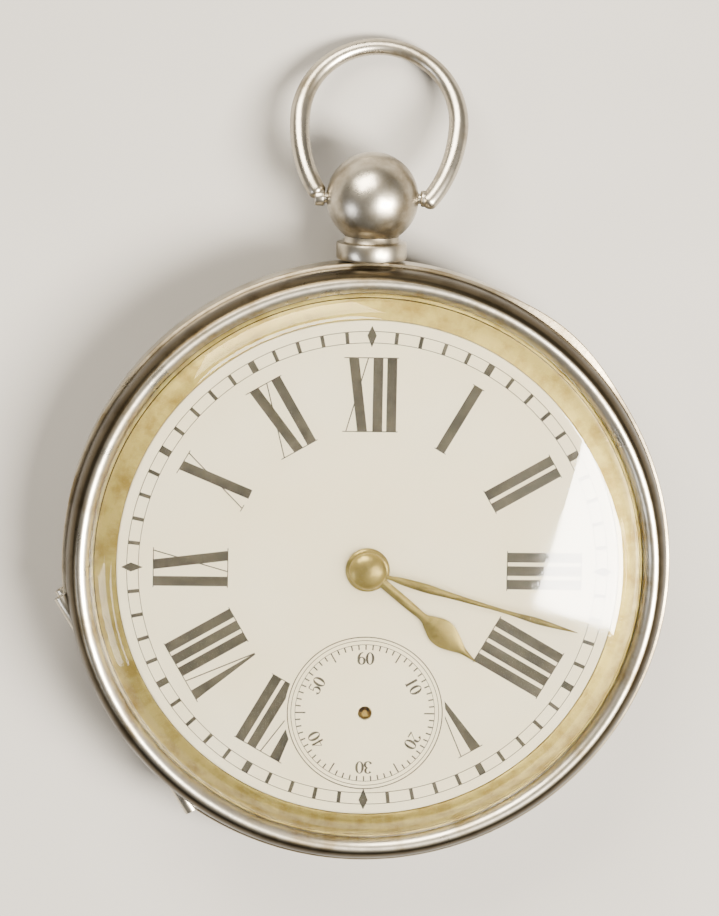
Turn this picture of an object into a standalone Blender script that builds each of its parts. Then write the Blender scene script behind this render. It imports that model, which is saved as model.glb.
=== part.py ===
"""Open-face, key-wound pocket watch lying on its back.

Origin: middle of the flat on the back cover. +Z comes out of the dial, +Y points to twelve o'clock and
the pendant, +X to three o'clock. Helper functions take millimetres and turn them into metres with MM.
"""

import math

import bmesh
import bpy
from mathutils import Matrix, Vector

MM = 0.001
TAU = 2 * math.pi
GAP = 0.05  # clearance between fitted pieces

# Case
CASE_R = 25.95
CASE_SEGMENTS = 48
BACK_JOINT_Z = 5.0  # parting plane and hinge axis of the back cover
BEZEL_JOINT_Z = 8.4  # parting plane and hinge axis of the bezel
CASE_BORE_R = 21.6
LIP_IN_R, LIP_OUT_R = 22.3, 23.15
BEZEL_BORE_R = 23.25
GLASS_R = 23.55
GLASS_SEAT_Z = 10.1
BACK_FLAT_R = 12.0

# Case hinges: two straight barrels side by side along one chord
HINGE_CLOCK = 238.5
HINGE_OFFSET = 23.8  # from the middle of the watch to the hinge axis
HINGE_LENGTH = 22.0
HINGE_KNUCKLES = 5
KNUCKLE_R, KNUCKLE_HOLE_R, HINGE_PIN_R = 0.65, 0.33, 0.27
POCKET = 0.75  # half the width of the pocket cut round each barrel

# Pendant and bow
PENDANT_Z = 6.9
BALL_Y, BALL_R, BALL_FLAT = 31.2, 3.92, 3.15
NECK_R = 2.3
BOW_WIRE_R, BOW_RING_R, BOW_CENTRE = 0.85, 6.75, 6.9
BOW_REST = -25.5  # degrees below level, resting just above the table
BOW_LEAN = 5.0  # degrees that wear lets the ring lean towards three o'clock
TENON_R, TENON_HOLE_R = 0.45, 0.55

# Movement levels
TOP_PLATE_Z = (3.9, 4.7)
PILLAR_PLATE_Z = (8.5, 9.35)
PLATE_R, TOP_PLATE_R = 22.2, 19.3
DIAL_R, DIAL_Z = 21.3, (10.45, 10.95)

# Train: module, wheel and pinion counts
BARREL_TEETH, CENTRE_LEAVES, BARREL_MODULE = 72, 12, 0.25
CENTRE_TEETH, THIRD_LEAVES, CENTRE_MODULE = 64, 8, 0.23
THIRD_TEETH, FOURTH_LEAVES, THIRD_MODULE = 60, 8, 0.21
FOURTH_TEETH, ESCAPE_LEAVES, FOURTH_MODULE = 64, 8, 0.18
CANNON_LEAVES, MINUTE_TEETH, CANNON_MODULE = 12, 36, 0.18
MINUTE_LEAVES, HOUR_TEETH = 10, 40
ESCAPE_TEETH, ESCAPE_R = 15, 2.9
BALANCE_R = 6.2
SECONDS_Y = -12.45  # fourth wheel arbor, centre of the seconds dial

HANDS_MINUTE_CLOCK, HANDS_HOUR_CLOCK = 106.0, 130.0


def mesh_distance(module, first, second):
    """Distance between the arbors of two toothed wheels in mesh."""
    return module * (first + second) / 2


def crossing(first, reach_first, second, reach_second, side):
    """The point at two given distances from two given points, on one side of the line between them."""
    first, second = Vector(first), Vector(second)
    along = second - first
    gap = along.length
    share = (reach_first**2 - reach_second**2 + gap**2) / (2 * gap)
    height = math.sqrt(reach_first**2 - share**2)
    return first + along / gap * share + Vector((-along.y, along.x)) / gap * height * side


CENTRE = Vector((0.0, 0.0))
FOURTH = Vector((0.0, SECONDS_Y))
THIRD = crossing(
    CENTRE,
    mesh_distance(CENTRE_MODULE, CENTRE_TEETH, THIRD_LEAVES),
    FOURTH,
    mesh_distance(THIRD_MODULE, THIRD_TEETH, FOURTH_LEAVES),
    1,
)
BARREL_CLOCK = math.radians(-20)
BARREL = Vector((math.sin(BARREL_CLOCK), math.cos(BARREL_CLOCK))) * mesh_distance(
    BARREL_MODULE, BARREL_TEETH, CENTRE_LEAVES
)
ESCAPE_TURN = math.radians(288)
ESCAPE = FOURTH + Vector((math.sin(ESCAPE_TURN), math.cos(ESCAPE_TURN))) * mesh_distance(
    FOURTH_MODULE, FOURTH_TEETH, ESCAPE_LEAVES
)
BALANCE = Vector((-8.6, -3.2))
LEVER_LINE = (BALANCE - ESCAPE).normalized()
PALLET = ESCAPE + LEVER_LINE * 3.45
MINUTE = Vector((mesh_distance(CANNON_MODULE, CANNON_LEAVES, MINUTE_TEETH), 0.0))
HOUR_MODULE = 2 * MINUTE.x / (MINUTE_LEAVES + HOUR_TEETH)


def clear_scene():
    for thing in list(bpy.data.objects):
        bpy.data.objects.remove(thing, do_unlink=True)


def finish_of(name, colour, roughness, metallic, alpha=1.0):
    """A Principled material."""
    made = bpy.data.materials.new(name)
    made.use_nodes = True
    shader = made.node_tree.nodes["Principled BSDF"]
    shader.inputs["Base Color"].default_value = (*colour, 1.0)
    shader.inputs["Roughness"].default_value = roughness
    shader.inputs["Metallic"].default_value = metallic
    shader.inputs["Alpha"].default_value = alpha
    return made


def object_from(bm, name, finish, place=(0, 0, 0)):
    """Closes a bmesh into a named object, faces outward and round surfaces smooth."""
    bmesh.ops.remove_doubles(bm, verts=bm.verts, dist=1e-6)
    bmesh.ops.recalc_face_normals(bm, faces=bm.faces)
    mesh = bpy.data.meshes.new(name)
    bm.to_mesh(mesh)
    bm.free()
    mesh.shade_smooth()
    mesh.set_sharp_from_angle(angle=math.radians(35))
    if finish:
        mesh.materials.append(finish)
    thing = bpy.data.objects.new(name, mesh)
    thing.location = Vector(place) * MM
    bpy.context.collection.objects.link(thing)
    return thing


def turned(name, profile, finish, at=(0, 0), segments=24):
    """A lathe-turned piece: (radius, height) points, closed unless both ends are on the axis."""
    bm = bmesh.new()
    points = [bm.verts.new((r * MM, 0, z * MM)) for r, z in profile]
    pairs = list(zip(points, points[1:]))
    if profile[0][0] > 0 or profile[-1][0] > 0:
        pairs.append((points[-1], points[0]))
    edges = [bm.edges.new(pair) for pair in pairs]
    bmesh.ops.spin(bm, geom=points + edges, cent=(0, 0, 0), axis=(0, 0, 1), angle=TAU, steps=segments)
    return object_from(bm, name, finish, (at[0], at[1], 0))


def extruded(name, outline, low, high, finish, at=(0, 0)):
    """A flat piece: a plane outline with a thickness."""
    bm = bmesh.new()
    face = bm.faces.new([bm.verts.new((x * MM, y * MM, low * MM)) for x, y in outline])
    raised = bmesh.ops.extrude_face_region(bm, geom=[face])["geom"]
    corners = [piece for piece in raised if isinstance(piece, bmesh.types.BMVert)]
    bmesh.ops.translate(bm, verts=corners, vec=(0, 0, (high - low) * MM))
    return object_from(bm, name, finish, (at[0], at[1], 0))


def rod(name, start, end, radius, finish=None, sides=12):
    """A cylinder between two points."""
    start, end = Vector(start), Vector(end)
    along = end - start
    turn = along.to_track_quat("Z", "Y").to_matrix().to_4x4()
    bm = bmesh.new()
    bmesh.ops.create_cone(
        bm, cap_ends=True, segments=sides, radius1=radius * MM, radius2=radius * MM, depth=along.length * MM
    )
    bmesh.ops.transform(bm, matrix=Matrix.Translation((start + end) / 2 * MM) @ turn, verts=bm.verts)
    return object_from(bm, name, finish)


def as_helper(thing):
    thing.hide_render = True
    thing.display_type = "WIRE"
    return thing


def combine(base, other, operation):
    """Adds a live Boolean to the base, with the other shape as its helper."""
    modifier = base.modifiers.new(other.name, "BOOLEAN")
    modifier.operation = operation
    modifier.solver = "EXACT"
    modifier.object = as_helper(other)
    return base


def drill(base, at, radius, low, high, sides=12):
    """An upright hole."""
    hole = rod("hole", (at[0], at[1], low), (at[0], at[1], high), radius, sides=sides)
    return combine(base, hole, "DIFFERENCE")


def toothed(teeth, module, phase=0.0, reach=0.65, root=1.0):
    """Outline of a wheel or pinion: pointed teeth with play, the first one centred on the phase."""
    pitch_r = module * teeth / 2
    pitch = TAU / teeth
    outline = []
    for tooth in range(teeth):
        middle = phase + tooth * pitch
        for radius, half in ((pitch_r - root * module, -0.5), (pitch_r + reach * module, 0.0)):
            angle = middle + half * pitch
            outline.append((radius * math.cos(angle), radius * math.sin(angle)))
    return outline


def phase_to_mesh(teeth, here, driver_teeth, driver_at, driver_phase):
    """Phase that puts a gap of this wheel where a tooth of its driver points."""
    line = driver_at - here
    toward_driver = math.atan2(line.y, line.x)
    away = toward_driver + math.pi
    slip = (away - driver_phase) * driver_teeth / TAU
    return toward_driver + (slip + 0.5) * TAU / teeth


def arbor(name, at, low, high, radius, finish):
    """A plain arbor: a thin round shaft."""
    return turned(name, [(0, low), (radius, low), (radius, high), (0, high)], finish, at, 12)


def wheel_and_pinion(name, at, shaft, wheel, pinion, finish):
    """Arbor with a wheel and a pinion: each is (outline, low, high), or None."""
    piece = arbor(name, at, *shaft, finish)
    for label, part in (("wheel", wheel), ("pinion", pinion)):
        if part:
            combine(piece, extruded(f"{name}_{label}_shape", *part, None, at), "UNION")
    return piece


def cross_out(piece, at, inner, outer, low, high, spokes=4, half_spoke=0.55):
    """Cuts the openings between a wheel's spokes."""
    for index in range(spokes):
        start = index * TAU / spokes
        side = math.asin(half_spoke / outer)
        side_in = math.asin(half_spoke / inner)
        sweep, sweep_in = TAU / spokes - 2 * side, TAU / spokes - 2 * side_in
        arc = [(outer, start + side + sweep * i / 6) for i in range(7)]
        arc += [(inner, start + side_in + sweep_in * (1 - i / 3)) for i in range(4)]
        outline = [(r * math.cos(a), r * math.sin(a)) for r, a in arc]
        combine(piece, extruded("crossing_cut", outline, low, high, None, at), "DIFFERENCE")
    return piece


# ---- case -------------------------------------------------------------------------------------------


def hinge_point(out, along, z):
    """A point in the hinge's own frame: out from the watch, along the barrel, and up."""
    turn = math.radians(HINGE_CLOCK)
    away = Vector((math.sin(turn), math.cos(turn)))
    side = Vector((-away.y, away.x))
    flat = away * (HINGE_OFFSET + out) + side * along
    return Vector((flat.x, flat.y, z))


def hinge_block(name, out, along, z):
    """A block in the hinge's frame, from (low, high) pairs."""
    corners = [(out[0], along[0]), (out[1], along[0]), (out[1], along[1]), (out[0], along[1])]
    outline = [hinge_point(u, v, 0).xy for u, v in corners]
    return extruded(name, outline, z[0], z[1], None)


def cut_hinge_pocket(piece, z, upward):
    """Clears the case wall round a barrel; the wall stays on the far side of its parting plane."""
    half = HINGE_LENGTH / 2 + GAP
    span = (z - POCKET, z + 1) if upward < 0 else (z - 1, z + POCKET)
    return combine(piece, hinge_block("pocket", (-POCKET, 3.5), (-half, half), span), "DIFFERENCE")


def add_knuckles(piece, z, first, upward):
    """Every second knuckle of a barrel, joined to the wall by a web, and the hole for the pin."""
    length = HINGE_LENGTH / HINGE_KNUCKLES
    for index in range(first, HINGE_KNUCKLES, 2):
        low = -HINGE_LENGTH / 2 + index * length + GAP
        high = low + length - 2 * GAP
        combine(piece, rod("knuckle", hinge_point(0, low, z), hinge_point(0, high, z), KNUCKLE_R), "UNION")
        web = sorted((z + upward * 0.12, z + upward * 0.5))
        combine(piece, hinge_block("web", (-1.3, -0.3), (low + GAP, high - GAP), web), "UNION")
    half = HINGE_LENGTH / 2 + 1
    bore = rod("pin_hole", hinge_point(0, -half, z), hinge_point(0, half, z), KNUCKLE_HOLE_R)
    return combine(piece, bore, "DIFFERENCE")


def hinge_pin(name, z, finish):
    half = HINGE_LENGTH / 2 - 0.2
    return rod(name, hinge_point(0, -half, z), hinge_point(0, half, z), HINGE_PIN_R, finish, 10)


def case_middle(silver):
    """The band that holds the movement, with a snap lip above and below."""
    top, bottom = BEZEL_JOINT_Z, BACK_JOINT_Z
    profile = [
        (CASE_BORE_R, bottom),
        (22.4, bottom),
        (22.4, bottom - 0.6),
        (23.3, bottom - 0.6),
        (23.3, bottom),
        (25.6, bottom),
        (CASE_R - 0.05, bottom + 0.7),
        (CASE_R, top - 0.8),
        (25.8, top),
        (LIP_OUT_R, top),
        (LIP_OUT_R, top + 0.8),
        (LIP_IN_R, top + 0.8),
        (LIP_IN_R, top),
        (CASE_BORE_R, top),
    ]
    piece = turned("case_middle", profile, silver, segments=CASE_SEGMENTS)
    cut_hinge_pocket(piece, top, -1)
    cut_hinge_pocket(piece, bottom, 1)
    half = HINGE_LENGTH / 2 + GAP
    flat = hinge_block("hinge_flat", (0.3, 3.4), (0.02 - half, half - 0.02), (bottom - 0.4, top + 0.4))
    combine(piece, flat, "DIFFERENCE")
    for span in ((bottom - 1.1, bottom + 0.02), (top - 0.02, top + 1.1)):
        combine(piece, hinge_block("lip_cut", (-1.5, 3.6), (-half - 0.1, half + 0.1), span), "DIFFERENCE")
    add_knuckles(piece, top, 0, -1)
    add_knuckles(piece, bottom, 0, 1)
    hole = rod("pendant_hole", (0, 20, PENDANT_Z), (0, 28, PENDANT_Z), 1.15)
    return combine(piece, hole, "DIFFERENCE")


def bezel(silver):
    """The ring round the glass: a thin bright edge, a half-round moulding and the seat of the glass."""
    base = BEZEL_JOINT_Z + GAP
    moulding_r, moulding_z, half_width, height = 24.45, 9.2, 1.15, 1.95
    arc = [math.radians(a) for a in range(0, 131, 26)]
    profile = [(BEZEL_BORE_R, base), (CASE_R, base), (CASE_R, base + 0.3), (25.65, base + 0.4)]
    profile += [(moulding_r + half_width * math.cos(a), moulding_z + height * math.sin(a)) for a in arc]
    profile += [(GLASS_R + GAP, 10.5), (GLASS_R + GAP, GLASS_SEAT_Z), (BEZEL_BORE_R, GLASS_SEAT_Z)]
    piece = turned("bezel", profile, silver, segments=CASE_SEGMENTS)
    lip_middle, lip_half, lip_height = 40.0, 19.0, 0.4
    for vertex in piece.data.vertices:
        clock = math.degrees(math.atan2(vertex.co.x, vertex.co.y))
        share = (clock - lip_middle) / lip_half
        if vertex.co.xy.length > 25.9 * MM and abs(share) < 1:
            vertex.co.xy *= 1 + lip_height / CASE_R * math.cos(share * math.pi / 2) ** 2
    cut_hinge_pocket(piece, BEZEL_JOINT_Z, 1)
    return add_knuckles(piece, BEZEL_JOINT_Z, 1, 1)


def crystal(glass):
    """The watch glass: an upright edge, a bevelled shoulder and a low dome."""
    edge_z, shoulder_r, shoulder_z, crown = GLASS_SEAT_Z + GAP, 21.7, 12.3, 13.75
    rings = [0.8, 0.5]
    outer = [(shoulder_r * s, shoulder_z + (crown - shoulder_z) * (1 - s * s)) for s in rings]
    inner = [(21.2 * s, 11.75 + (13.1 - 11.75) * (1 - s * s)) for s in reversed(rings)]
    profile = [(0, crown), *reversed(outer), (shoulder_r, shoulder_z)]
    profile += [(GLASS_R, edge_z + 0.5), (GLASS_R, edge_z), (22.8, edge_z)]
    profile += [(21.2, 11.75), *reversed(inner), (0, 13.1)]
    return turned("crystal", profile, glass, segments=40)


def back_cover(silver):
    """The outer back: a shallow bowl with a flat in the middle that the watch lies on."""
    rim = BACK_JOINT_Z - GAP
    outer = [(0, 0), (BACK_FLAT_R, 0), (18, 0.35), (21.5, 1.2), (24, 2.6), (25.3, 4.1), (25.6, rim)]
    inner = [(23.4, rim), (23.4, 4.0), (21, 1.75), (17.8, 0.85), (BACK_FLAT_R, 0.5), (0, 0.5)]
    piece = turned("back_cover", outer + inner, silver, segments=CASE_SEGMENTS)
    cut_hinge_pocket(piece, BACK_JOINT_Z, -1)
    return add_knuckles(piece, BACK_JOINT_Z, 1, -1)


def inner_dome(silver):
    """The fixed dust dome under the movement, with the hole for the winding key."""
    outer = [(0, 1.0), (17.8, 1.0), (20.9, 2.6), (21.5, 3.9), (21.5, 5.4)]
    inner = [(21.1, 5.4), (21.1, 3.95), (20.5, 2.85), (17.6, 1.4), (0, 1.4)]
    piece = turned("inner_dome", outer + inner, silver, segments=40)
    return drill(piece, BARREL, 1.5, 0.5, 2)


def pendant(silver):
    """The collar and neck on the case, and the drilled ball that carries the bow."""
    top = BALL_Y - BALL_FLAT - GAP
    collar = [(0, 23.0), (1.1, 23.0), (1.1, 26.0), (2.8, 26.0), (3.0, 26.2), (3.0, 27.3)]
    collar += [(2.8, 27.5), (2.4, 27.55), (NECK_R, top), (0, top)]
    neck = turned("pendant_neck", collar, silver, segments=24)
    neck.rotation_euler.x = -math.pi / 2
    neck.location.z = PENDANT_Z * MM
    start = math.acos(BALL_FLAT / BALL_R)
    steps = 9
    angles = [start + (math.pi - start) * i / steps for i in range(steps)]
    outline = [(0, -BALL_FLAT)] + [(BALL_R * math.sin(a), -BALL_R * math.cos(a)) for a in angles]
    ball = turned("pendant_ball", [*outline, (0, BALL_R)], silver, segments=24)
    ball.rotation_euler.x = -math.pi / 2
    ball.location = Vector((0, BALL_Y, PENDANT_Z)) * MM
    across = BALL_R + 1
    hole = rod("bow_hole", (-across, BALL_Y, PENDANT_Z), (across, BALL_Y, PENDANT_Z), TENON_HOLE_R)
    combine(ball, hole, "DIFFERENCE")
    return neck, ball


def bow_route():
    """The ring of the bow, from one end round to the other: (across, out, wire radius).

    A circle whose lower half is drawn out towards the ball, thinner where the chain has worn the top.
    """
    start = math.radians(-45)
    sweep = math.pi - 2 * start
    count = 24
    lean = math.radians(BOW_LEAN)
    route = []
    for index in range(count + 1):
        turn = start + sweep * index / count
        height = math.sin(turn)
        across = BOW_RING_R * math.cos(turn)
        out = BOW_CENTRE + BOW_RING_R * height * (1.4 if height < 0 else 1)
        radius = BOW_WIRE_R * (1 - 0.16 * height if height > 0 else 1 + 0.11 * height)
        leaned = Matrix.Rotation(-lean, 2) @ Vector((across, out))
        route.append((*leaned, radius))
    return route


def bow(silver):
    """The ring that swings on the ball: one wire with a tenon at each end."""
    route = bow_route()
    curve = bpy.data.curves.new("bow_wire", "CURVE")
    curve.dimensions = "3D"
    curve.bevel_depth = MM
    curve.bevel_resolution = 2
    curve.use_fill_caps = True
    line = curve.splines.new("POLY")
    line.points.add(len(route) - 1)
    for point, (across, out, radius) in zip(line.points, route):
        point.co = (across * MM, out * MM, 0, 1)
        point.radius = radius
    wire = bpy.data.objects.new("bow_wire", curve)
    bpy.context.collection.objects.link(wire)
    bm = bmesh.new()
    bm.from_mesh(wire.to_mesh())
    bpy.data.objects.remove(wire)
    ring = object_from(bm, "bow", silver, (0, BALL_Y, PENDANT_Z))
    ring.rotation_euler.x = math.radians(BOW_REST)
    for side in (-1, 1):
        for near, far, radius in ((4.08, 4.9, 0.7), (2.6, 4.3, TENON_R)):
            tenon = rod("tenon", (side * near, 0, 0), (side * far, 0, 0), radius)
            tenon.location = ring.location
            combine(ring, tenon, "UNION")
    return ring


# ---- dial and hands ---------------------------------------------------------------------------------


def dial(enamel, brass):
    low, high = DIAL_Z
    face = turned("dial", [(0, low), (DIAL_R, low), (DIAL_R, high), (0, high)], enamel, segments=48)
    for clock in (75, 195, 315):
        turn = math.radians(clock)
        at = (19.6 * math.sin(turn), 19.6 * math.cos(turn))
        combine(face, rod("foot", (*at, PILLAR_PLATE_Z[1] + 0.1), (*at, low + 0.2), 0.4), "UNION")
    drill(face, CENTRE, 1.5, low - 1, high + 1)
    drill(face, FOURTH, 0.6, low - 1, high + 1)
    inside, outside = DIAL_R + GAP, LIP_OUT_R - GAP
    rim = [(inside, 9.75), (outside, 9.75), (outside, 10.0), (22.3, 10.35), (inside, 10.9)]
    return face, turned("dial_rim", rim, brass, segments=48)


def hand(name, half_outline, clock, low, high, boss_r, hole_r, finish):
    """A hand cut from sheet: one side of its outline as (distance from centre, half width), and its boss."""
    turn = math.radians(clock)
    along, across = Vector((math.sin(turn), math.cos(turn))), Vector((math.cos(turn), -math.sin(turn)))
    sides = [along * d + across * w for d, w in half_outline]
    sides += [along * d - across * w for d, w in reversed(half_outline) if w > 0]
    blade = extruded(name, sides, low, high, finish)
    under, over = low - 0.05, high + 0.05
    boss = turned("boss", [(0, under), (boss_r, under), (boss_r, over), (0, over)], None)
    combine(blade, boss, "UNION")
    return drill(blade, CENTRE, hole_r, low - 1, high + 1, 16)


def hands(gilt):
    lobe = [(0.5, 0.4), (4.5, 0.42), (6.2, 0.36), (7.0, 0.7), (7.9, 1.1), (8.8, 1.12)]
    lobe += [(9.7, 0.78), (10.8, 0.28), (12.2, 0)]
    hour = hand("hour_hand", lobe, HANDS_HOUR_CLOCK, 11.2, 11.4, 1.9, 1.42, gilt)
    blade = [(0.5, 0.3), (2.4, 0.26), (4.2, 0.36), (6.5, 0.32), (12.0, 0.19), (18.6, 0.05)]
    minute = hand("minute_hand", blade, HANDS_MINUTE_CLOCK, 11.7, 11.88, 1.5, 0.82, gilt)
    return hour, minute


# ---- plates -----------------------------------------------------------------------------------------


def pillar_places():
    """Four points near the edge of the plates, by clock angle."""
    turns = [math.radians(clock) for clock in (40, 130, 220, 310)]
    return [Vector((math.sin(turn), math.cos(turn))) * 18.1 for turn in turns]


def plates(brass, steel):
    """The two plates, the pillars that part them and the screws that hold them."""
    low, high = PILLAR_PLATE_Z
    disc = [(0, low), (PLATE_R, low), (PLATE_R, high), (0, high)]
    lower = turned("pillar_plate", disc, brass, segments=40)
    upper_z, plate_top = TOP_PLATE_Z
    disc = [(0, upper_z), (TOP_PLATE_R, upper_z), (TOP_PLATE_R, plate_top), (0, plate_top)]
    upper = turned("top_plate", disc, brass, segments=40)
    pivots = [(CENTRE, 0.75), (FOURTH, 0.45), (THIRD, 0.35), (ESCAPE, 0.35), (PALLET, 0.35), (BALANCE, 0.45)]
    for plate, span in ((lower, (low - 1, high + 0.9)), (upper, (upper_z - 1, plate_top + 1))):
        for at, radius in pivots:
            drill(plate, at, radius, *span, 10)
        drill(plate, BARREL, 1.05, *span)
    for index, at in enumerate(pillar_places(), 1):
        start, end = plate_top + GAP, low - GAP
        spindle = [(0, 6.6), (0.5, 6.6), (0.5, start), (1.0, start), (0.75, 6.5), (1.0, end), (0, end)]
        turned(f"pillar_{index}", spindle, brass, at, 12)
        drill(upper, at, 0.5, upper_z - 1, plate_top + 1)
        head = upper_z - GAP
        screw = [(0, head - 0.5), (1.0, head - 0.5), (1.0, head), (0.42, head), (0.42, 6.4), (0, 6.4)]
        turned(f"plate_screw_{index}", screw, steel, at, 10)
    return lower, upper


def case_screws(steel):
    """Two dog screws whose heads reach over the lip of the case."""
    for index, clock in enumerate((20, 200), 1):
        turn = math.radians(clock)
        at = (21.3 * math.sin(turn), 21.3 * math.cos(turn))
        low = BEZEL_JOINT_Z + 0.8 + 0.2
        turned(f"case_screw_{index}", [(0, low), (1.3, low), (1.3, low + 0.3), (0, low + 0.3)], steel, at, 14)


# ---- train ------------------------------------------------------------------------------------------


def barrel(brass, steel):
    wall_low, wall_high = 5.9, 8.2
    profile = [(1.1, 7.8), (8.2, 7.8), (8.2, wall_low), (8.65, wall_low), (8.65, wall_high), (1.1, wall_high)]
    drum = turned("barrel", profile, brass, BARREL, 30)
    ring = extruded("barrel_teeth", toothed(BARREL_TEETH, BARREL_MODULE), 7.82, 8.18, None, BARREL)
    drill(ring, BARREL, 5.0, 7, 9, 24)
    combine(drum, ring, "UNION")
    cover = [(1.1, wall_low + GAP), (8.15, wall_low + GAP), (8.15, 6.25), (1.1, 6.25)]
    turned("barrel_cover", cover, brass, BARREL, 24)
    spiral("mainspring", BARREL, 3.2, 8.0, 4, (6.4, 7.7), 0.22, steel, 16)
    shaft = [(0, 3.0), (0.9, 3.0), (0.9, PILLAR_PLATE_Z[1]), (0, PILLAR_PLATE_Z[1])]
    shaft = turned("barrel_arbor", shaft, steel, BARREL, 16)
    side = 0.62
    square = [(side, side), (-side, side), (-side, -side), (side, -side)]
    combine(shaft, extruded("winding_square", square, 1.6, 3.1, None, BARREL), "UNION")


def spiral(name, at, inner, outer, turns, span, thick, finish, steps=20):
    """A flat spring: a strip wound from the inner radius to the outer."""
    count = int(turns * steps)
    sides = []
    for offset in (-thick / 2, thick / 2):
        row = []
        for index in range(count + 1):
            share = index / count
            radius = inner + (outer - thick / 2 - inner) * share + offset
            angle = TAU * turns * share
            row.append((radius * math.cos(angle), radius * math.sin(angle)))
        sides.append(row)
    return extruded(name, sides[0] + sides[1][::-1], span[0], span[1], finish, at)


def train(brass, steel):
    """Centre, third, fourth and escape wheels, each in mesh with the one before."""
    low, high = TOP_PLATE_Z[0], PILLAR_PLATE_Z[1]
    phase = phase_to_mesh(CENTRE_LEAVES, CENTRE, BARREL_TEETH, BARREL, 0)
    pinion = (toothed(CENTRE_LEAVES, BARREL_MODULE, phase), 7.6, 8.35)
    wheel = (toothed(CENTRE_TEETH, CENTRE_MODULE), 5.0, 5.3)
    piece = wheel_and_pinion("centre_wheel", CENTRE, (low, 11.95, 0.55), wheel, pinion, brass)
    cross_out(piece, CENTRE, 1.8, 6.2, 4.8, 5.5)
    phase = phase_to_mesh(THIRD_LEAVES, THIRD, CENTRE_TEETH, CENTRE, 0)
    pinion = (toothed(THIRD_LEAVES, CENTRE_MODULE, phase), 4.9, 5.4)
    wheel = (toothed(THIRD_TEETH, THIRD_MODULE), 6.2, 6.45)
    piece = wheel_and_pinion("third_wheel", THIRD, (low, high, 0.28), wheel, pinion, brass)
    cross_out(piece, THIRD, 1.5, 5.3, 6, 6.6)
    phase = phase_to_mesh(FOURTH_LEAVES, FOURTH, THIRD_TEETH, THIRD, 0)
    pinion = (toothed(FOURTH_LEAVES, THIRD_MODULE, phase), 6.1, 6.55)
    wheel = (toothed(FOURTH_TEETH, FOURTH_MODULE), 7.0, 7.25)
    piece = wheel_and_pinion("fourth_wheel", FOURTH, (low, 11.2, 0.3), wheel, pinion, brass)
    cross_out(piece, FOURTH, 1.5, 4.8, 6.9, 7.4)
    phase = phase_to_mesh(ESCAPE_LEAVES, ESCAPE, FOURTH_TEETH, FOURTH, 0)
    pinion = (toothed(ESCAPE_LEAVES, FOURTH_MODULE, phase), 6.9, 7.35)
    wheel = (escape_outline(), 5.55, 5.8)
    wheel_and_pinion("escape_wheel", ESCAPE, (low, high, 0.28), wheel, pinion, steel)


def escape_outline():
    """Fifteen pointed teeth that lean forward."""
    outline = []
    pitch = TAU / ESCAPE_TEETH
    for tooth in range(ESCAPE_TEETH):
        for radius, share in ((2.1, 0.0), (ESCAPE_R, 0.42), (ESCAPE_R, 0.5), (2.1, 0.38)):
            angle = (tooth + share) * pitch
            outline.append((radius * math.cos(angle), radius * math.sin(angle)))
    return outline


def lever_point(along, across):
    return LEVER_LINE * along + Vector((-LEVER_LINE.y, LEVER_LINE.x)) * across


def pallet_lever(steel):
    """The anchor and its fork; the pallets stand just clear of the escape wheel's points."""
    side = [(0.35, 0.4), (2.4, 0.22), (2.75, 0.62), (3.15, 0.6), (3.0, 0.16), (2.8, 0.16)]
    back = [(-0.1, 0.75), (-0.5, 2.2), (-0.95, 2.15), (-0.72, 1.72), (-0.15, 0.5)]
    outline = [lever_point(*p) for p in reversed(side)] + [lever_point(*p) for p in back]
    outline += [lever_point(a, -b) for a, b in reversed(back)] + [lever_point(a, -b) for a, b in side]
    anchor = extruded("pallet_lever", outline, 5.5, 5.9, steel, PALLET)
    staff = arbor("pallet_staff", PALLET, TOP_PLATE_Z[0], PILLAR_PLATE_Z[1], 0.25, None)
    return combine(anchor, staff, "UNION")


def balance(gilt, steel):
    """The balance on its staff, its spring, the cock over it and the regulator."""
    rim = [(BALANCE_R - 0.75, 2.75), (BALANCE_R, 2.75), (BALANCE_R, 3.2), (BALANCE_R - 0.75, 3.2)]
    wheel = turned("balance_wheel", rim, gilt, BALANCE, 32)
    for index in range(3):
        turn = index * TAU / 3
        out = Vector((math.cos(turn), math.sin(turn)))
        side = Vector((-out.y, out.x))
        corners = [out * r + side * w for r, w in ((0.1, -0.4), (5.8, -0.3), (5.8, 0.3), (0.1, 0.4))]
        combine(wheel, extruded("arm", corners, 2.8, 3.1, None, BALANCE), "UNION")
    combine(wheel, arbor("staff", BALANCE, 2.5, PILLAR_PLATE_Z[1], 0.32, None), "UNION")
    combine(wheel, arbor("roller", BALANCE, 5.5, 5.9, 0.85, None), "UNION")
    spiral("hairspring", BALANCE, 0.65, 2.7, 4, (3.4, 3.65), 0.14, steel, 12)
    outward = BALANCE.normalized()
    side = Vector((-outward.y, outward.x))
    foot, foot_wide, neck_wide = (16.0, 18.3), 2.4, 1.5
    start = BALANCE.length
    corners = [(start, -neck_wide), (foot[0], -neck_wide), (foot[0], -foot_wide), (foot[1], -foot_wide)]
    corners += [(r, -w) for r, w in reversed(corners)]
    cock = extruded("balance_cock", [outward * r + side * w for r, w in corners], 1.95, 2.4, gilt)
    combine(cock, rod("cock_table", (*BALANCE, 1.95), (*BALANCE, 2.4), 2.6, sides=24), "UNION")
    base = [(foot[0], -foot_wide), (foot[1], -foot_wide), (foot[1], foot_wide), (foot[0], foot_wide)]
    block = extruded("cock_foot", [outward * r + side * w for r, w in base], 2.3, TOP_PLATE_Z[0] - GAP, None)
    combine(cock, block, "UNION")
    screw_at = outward * 17.1
    drill(cock, screw_at, 0.55, 1, 4.5)
    end = TOP_PLATE_Z[0] - GAP
    screw = [(0, 1.6), (0.95, 1.6), (0.95, 1.9), (0.45, 1.9), (0.45, end), (0, end)]
    turned("cock_screw", screw, steel, screw_at, 12)
    return cock


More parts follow.
